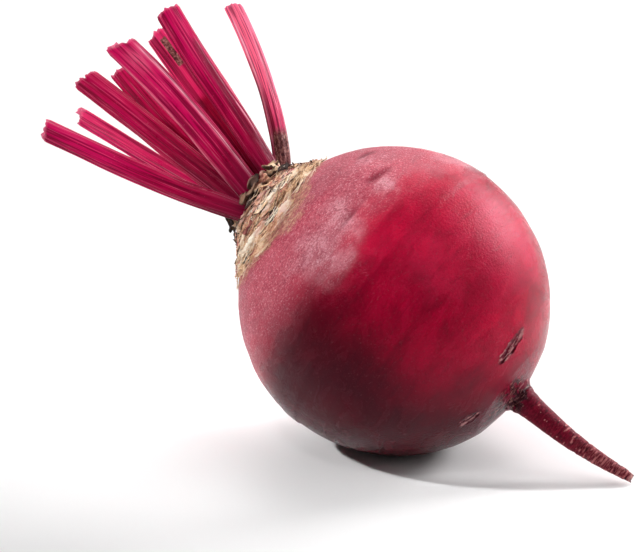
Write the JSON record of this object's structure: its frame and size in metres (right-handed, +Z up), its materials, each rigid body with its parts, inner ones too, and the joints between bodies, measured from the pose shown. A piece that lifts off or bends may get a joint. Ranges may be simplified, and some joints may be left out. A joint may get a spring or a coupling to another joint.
{
  "type": "beetroot",
  "caption": "Whole raw beetroot lying tilted on its side: round crimson root with a long tap root, a corky tan crown and a fan of short cut leaf stalks.",
  "frame": {"origin": "centre of the small flat spot on the underside of the globe that it rests on", "axes": "+Z up; +X level, along the growth axis as seen from above, towards the tap root. The crown points up and back towards -X."},
  "size_m": [0.1525, 0.0756, 0.1025],
  "materials": {
    "skin": "smooth thin skin with a soft sheen, mottled crimson to dark purple-red",
    "cork": "dry, matt, fibrous corky skin",
    "stalk": "fresh, ribbed, semi-gloss, crimson to magenta with paler ribs"
  },
  "bodies": {
    "root": {"root": "skin", "crown": "cork", "stalk_a": "stalk", "stalk_b": "stalk", "stalk_c": "stalk", "stalk_d": "stalk", "stalk_e": "stalk", "stalk_f": "stalk", "stalk_g": "stalk", "stalk_h": "stalk"}
  },
  "joints": []
}
